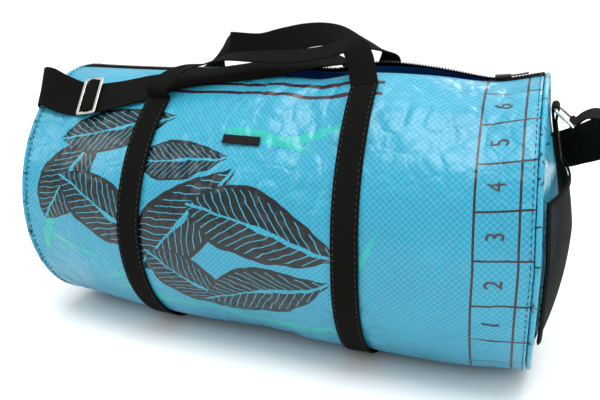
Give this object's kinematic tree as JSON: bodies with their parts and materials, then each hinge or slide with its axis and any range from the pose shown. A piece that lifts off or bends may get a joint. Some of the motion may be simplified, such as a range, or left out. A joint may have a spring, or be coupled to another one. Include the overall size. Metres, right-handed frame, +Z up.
{
  "type": "gym bag",
  "caption": "Soft barrel-shaped bag with a zip slit along its top, webbing carrying handles, a shoulder strap and a net pocket on its end.",
  "frame": {"origin": "under the middle of the box, on the floor", "axes": "+X along the barrel to the end with the net pocket, -Y the side of the label, +Z up"},
  "size_m": [0.592, 0.2978, 0.3168],
  "materials": {
    "sack_cloth": "laminated glossy weave",
    "webbing": "ribbed matt weave",
    "zip_tape": "matt",
    "net": "open net",
    "steel": "bright"
  },
  "bodies": {
    "root": {"body_shell": "sack_cloth", "zip_tape_front": "zip_tape", "zip_tape_back": "zip_tape", "zip_slider": "steel", "end_panel_left": "sack_cloth", "end_panel_right": "sack_cloth", "piping_left": "sack_cloth", "piping_right": "sack_cloth", "pocket_net": "net", "pocket_binding": "webbing", "strap_left": "webbing", "strap_right": "webbing", "handle_front": "webbing", "handle_back": "webbing", "ring_left": "steel", "ring_right": "steel", "end_tab_left": "webbing", "end_tab_right": "webbing", "shoulder_strap": "webbing", "strap_slider": "steel", "strap_bridge": "webbing", "side_label": "webbing"}
  },
  "joints": []
}
